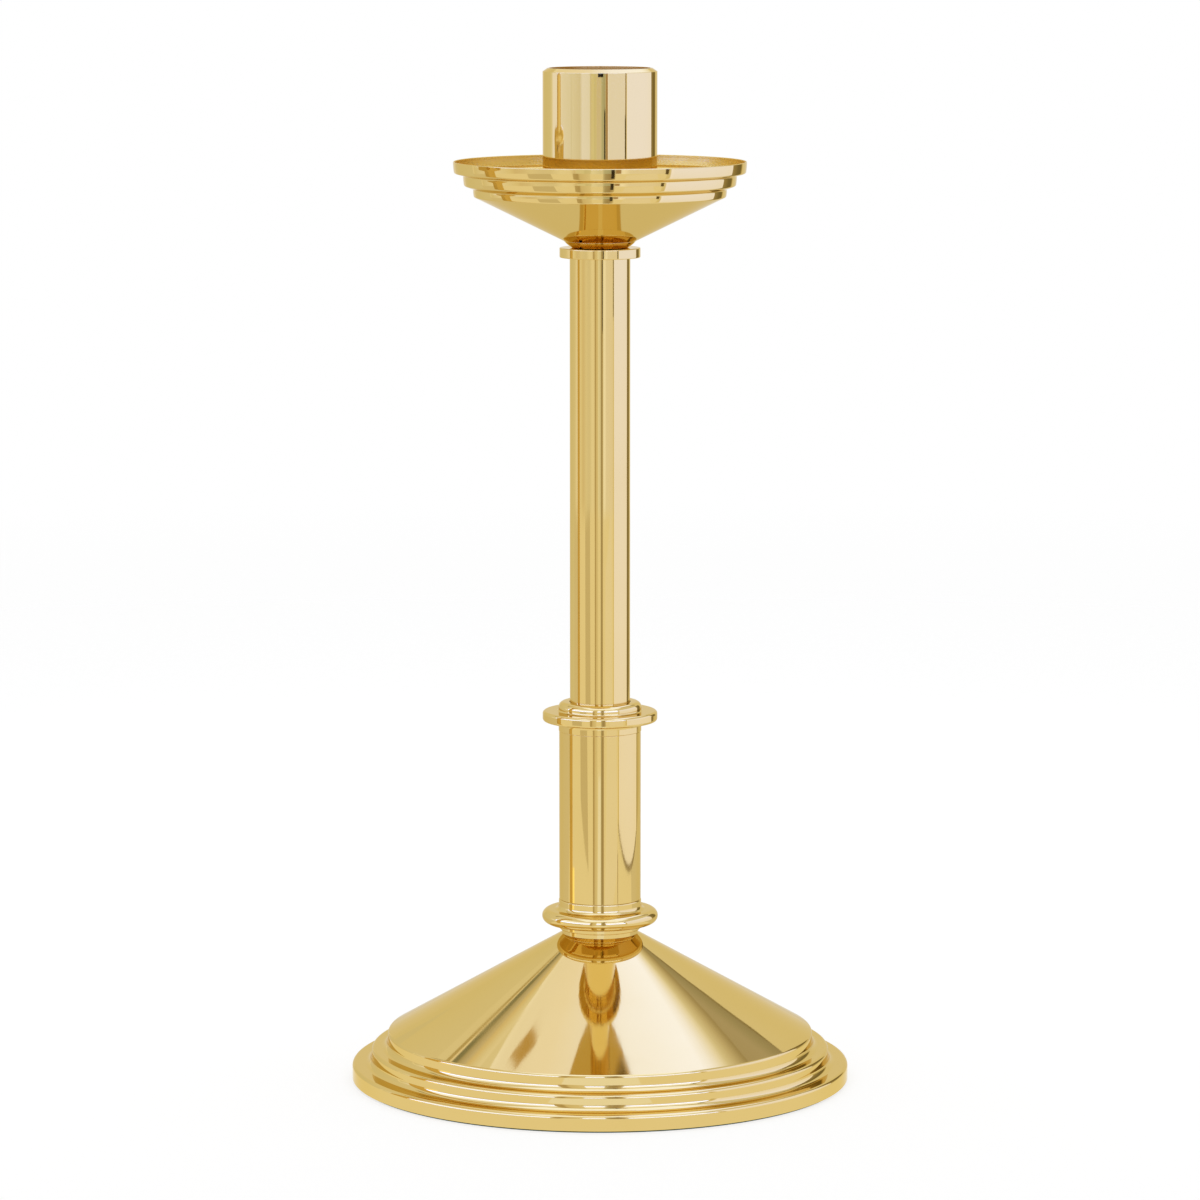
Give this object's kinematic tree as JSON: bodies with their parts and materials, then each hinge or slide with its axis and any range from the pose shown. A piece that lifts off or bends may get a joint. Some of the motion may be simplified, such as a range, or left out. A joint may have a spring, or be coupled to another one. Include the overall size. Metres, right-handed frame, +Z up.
{
  "type": "paschal candlestick",
  "caption": "Polished brass paschal candlestick: stepped cone base, collared stem, and a lift-off stepped drip pan with a deep candle cup.",
  "frame": {"origin": "centre of the felt's underside, on the axis of the stand, where it meets the surface it stands on", "axes": "+Z up the stem to the candle; the part is round about Z, and X and Y are any two level directions"},
  "size_m": [0.3176, 0.3176, 0.6448],
  "materials": {
    "polished_brass": "mirror polished and clear lacquered",
    "turned_brass": "as turned, with fine lathe lines",
    "zinc_steel": "zinc plated, dull bright",
    "cast_iron": "rough as cast",
    "hardboard": "smooth pressed fibre",
    "green_felt": "matt wool felt"
  },
  "bodies": {
    "stand": {"felt_pad": "green_felt", "base_board": "hardboard", "base_shell": "polished_brass", "base_weight": "cast_iron", "lower_knop": "polished_brass", "lower_sleeve": "polished_brass", "middle_collar": "polished_brass", "stem_tube": "polished_brass", "cap_collar": "polished_brass", "tie_rod": "zinc_steel", "base_washer": "zinc_steel", "base_lock_washer": "zinc_steel", "base_nut": "zinc_steel", "cap_washer": "zinc_steel", "cap_nut": "zinc_steel"},
    "top_unit": {"top_spigot": "polished_brass", "drip_pan": "polished_brass", "cup_spacer": "turned_brass", "candle_cup": "polished_brass", "cup_screw": "turned_brass"}
  },
  "joints": [
    {"name": "top_lift", "type": "slide", "parent": "stand", "child": "top_unit", "axis": [0, 0, 1], "range_m": [0, 0.06]}
  ]
}
